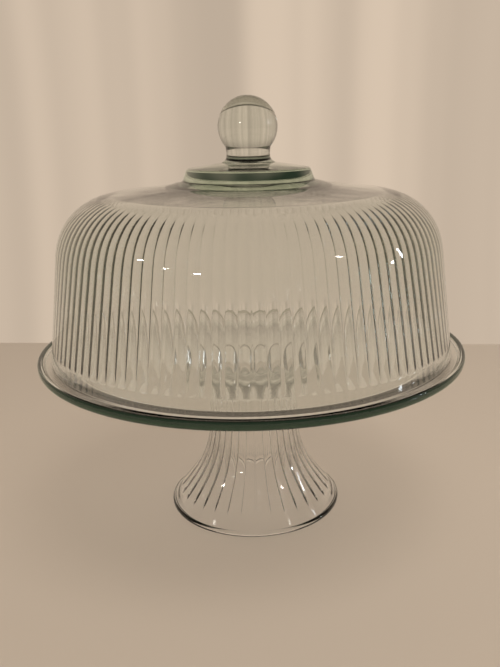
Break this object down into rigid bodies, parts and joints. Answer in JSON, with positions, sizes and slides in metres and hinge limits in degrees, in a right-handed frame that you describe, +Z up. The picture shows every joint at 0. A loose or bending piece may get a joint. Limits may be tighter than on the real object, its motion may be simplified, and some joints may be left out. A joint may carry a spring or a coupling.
{
  "type": "cake stand with dome",
  "caption": "Footed glass cake stand with a loose ribbed glass dome that lifts off by a solid ball knob.",
  "frame": {"origin": "on the axis, at the level of the surface that the foot's base ring stands on", "axes": "+Z up along the axis of the stand and the dome; X and Y lie in the table's plane and are alike"},
  "size_m": [0.305, 0.305, 0.2989],
  "materials": {
    "plate_glass": "smooth pressed glass, slightly green, dark green at the edge",
    "foot_glass": "smooth outside, ribbed inside, almost colourless",
    "dome_glass": "smooth outside, fine upright ribs inside, slightly green",
    "knob_glass": "solid polished glass"
  },
  "bodies": {
    "stand": {"cake_plate": "plate_glass", "pedestal_foot": "foot_glass"},
    "dome": {"dome_shell": "dome_glass", "dome_knob": "knob_glass"}
  },
  "joints": [
    {"name": "dome_lift", "type": "slide", "parent": "stand", "child": "dome", "axis": [0, 0, 1], "range_m": [0, 0.15]}
  ]
}
